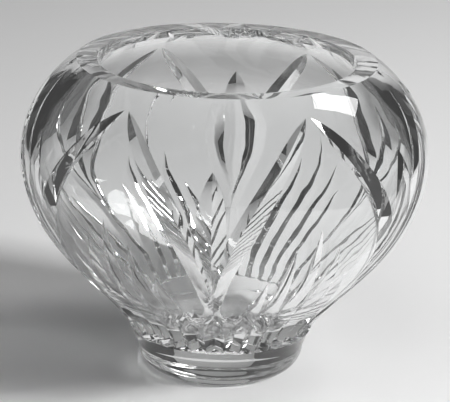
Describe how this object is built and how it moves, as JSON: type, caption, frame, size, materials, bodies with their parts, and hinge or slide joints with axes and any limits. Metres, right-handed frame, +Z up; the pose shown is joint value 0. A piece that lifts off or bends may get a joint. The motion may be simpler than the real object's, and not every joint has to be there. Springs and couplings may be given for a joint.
{
  "type": "rose bowl vase",
  "caption": "Round footed rose bowl of clear cut crystal, with an inward shoulder, a flat polished rim and a pattern of V-cut strokes, leaves and foot flutes.",
  "frame": {"origin": "middle of the flat underside of the foot", "axes": "+Z up along the bowl's axis, -Y towards the front, where one of the six tall leaves stands"},
  "size_m": [0.167, 0.1666, 0.13],
  "materials": {
    "crystal": "polished clear crystal, with polished V-cuts"
  },
  "bodies": {
    "root": {"glass_bowl": "crystal"}
  },
  "joints": []
}
